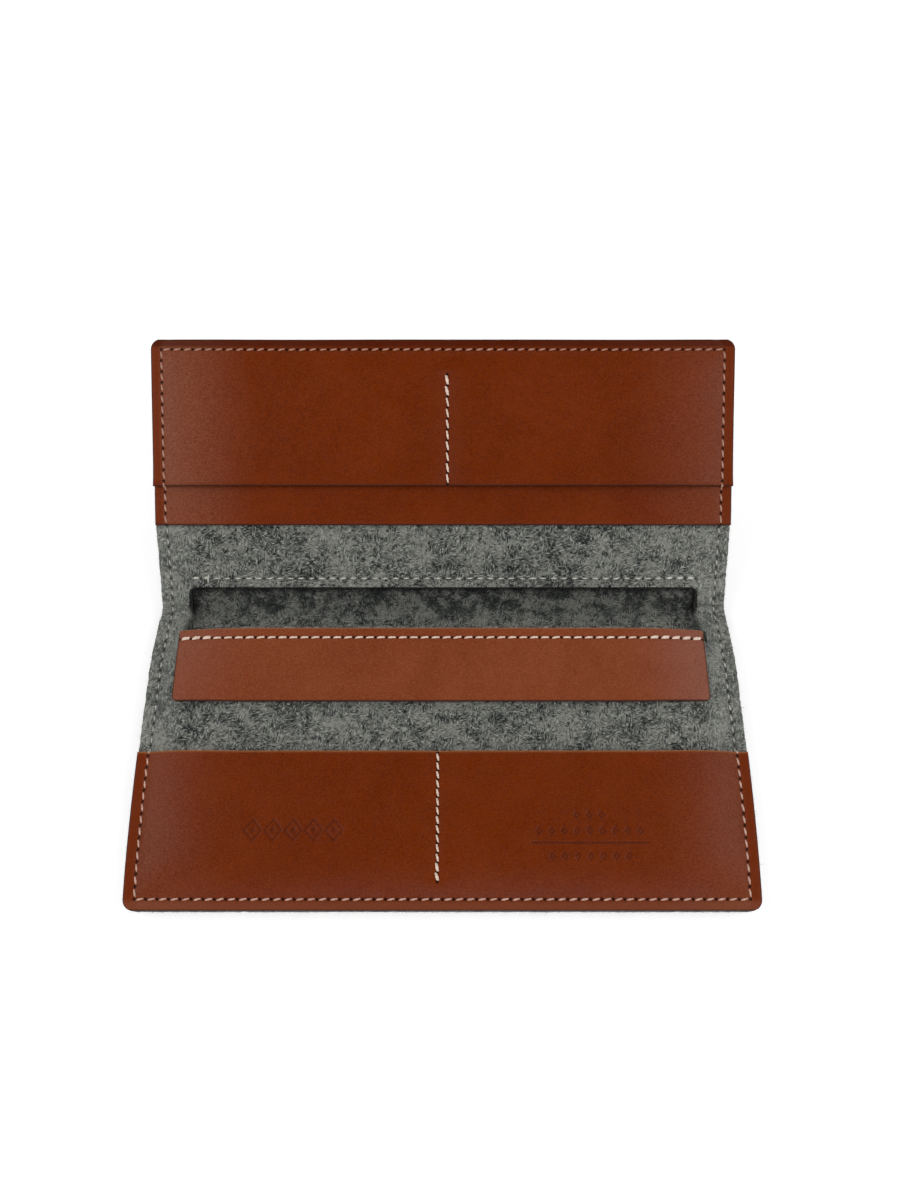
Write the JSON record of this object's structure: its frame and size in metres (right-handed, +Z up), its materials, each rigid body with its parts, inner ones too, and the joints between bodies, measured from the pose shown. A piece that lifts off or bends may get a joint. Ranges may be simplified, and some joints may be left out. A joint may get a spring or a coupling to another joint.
{
  "type": "travel document organizer",
  "caption": "Folding felt and leather wallet for travel papers, with a passport pocket opening at the fold, card pockets in both leaves and a leather strip on the pocket's edge.",
  "frame": {"origin": "centre of the bounding box, on the table under the lower leaf", "axes": "+X along the fold, to the right of someone facing the open organizer; -Y towards the lower leaf's outer edge; +Z up from the table"},
  "size_m": [0.2, 0.1858, 0.0527],
  "materials": {
    "outer_felt": "mottled grey wool felt, matt, with a short fuzz",
    "inner_felt": "mottled grey wool felt, matt, with a short fuzz",
    "pocket_leather": "vegetable-tanned brown leather, smooth fine grain, satin, dark burnished edges",
    "strip_leather": "vegetable-tanned brown leather, waxed, glossier and lighter than the pockets",
    "thread": "waxed cream linen thread, twisted"
  },
  "bodies": {
    "lower_leaf": {"outer_felt_lower": "outer_felt", "inner_felt_lower": "inner_felt", "lower_pocket_panel": "pocket_leather", "strip_band": "strip_leather", "edge_seam_lower": "thread", "lower_divider_seam": "thread", "strip_seam": "thread"},
    "fold_lower": {"outer_felt_fold_lower": "outer_felt", "inner_felt_fold_lower": "inner_felt", "edge_seam_fold_lower": "thread"},
    "fold_upper": {"outer_felt_fold_upper": "outer_felt", "inner_felt_fold_upper": "inner_felt", "edge_seam_fold_upper": "thread"},
    "upper_leaf": {"outer_felt_upper": "outer_felt", "inner_felt_upper": "inner_felt", "rear_pocket_panel": "pocket_leather", "front_pocket_panel": "pocket_leather", "edge_seam_upper": "thread", "upper_divider_seam": "thread", "window_seam": "thread"},
    "strip": {"strip_flap": "strip_leather"}
  },
  "joints": [
    {"name": "fold_front", "type": "hinge", "parent": "lower_leaf", "child": "fold_lower", "pos_m": [0, -0.00794, 0.003], "axis": [-1, 0, 0], "range_deg": [-51.5, 8.5], "deforming": ["outer_felt_fold_lower", "inner_felt_fold_lower", "edge_seam_fold_lower"]},
    {"name": "fold_middle", "type": "hinge", "parent": "fold_lower", "child": "fold_upper", "pos_m": [0, 0.00606, 0.003], "axis": [-1, 0, 0], "range_deg": [-51.5, 8.5], "deforming": ["outer_felt_fold_upper", "inner_felt_fold_upper", "edge_seam_fold_upper"]},
    {"name": "fold_back", "type": "hinge", "parent": "fold_upper", "child": "upper_leaf", "pos_m": [0, 0.01834, 0.00848], "axis": [-1, 0, 0], "range_deg": [-51.5, 8.5]},
    {"name": "strip_lift", "type": "hinge", "parent": "lower_leaf", "child": "strip", "pos_m": [0, -0.00537, 0.01456], "axis": [-1, 0, 0], "range_deg": [0, 60], "deforming": ["strip_flap"]}
  ],
  "couplings": [
    {"joint": "fold_middle", "follows": "fold_front", "ratio": 1},
    {"joint": "fold_back", "follows": "fold_front", "ratio": 1}
  ]
}
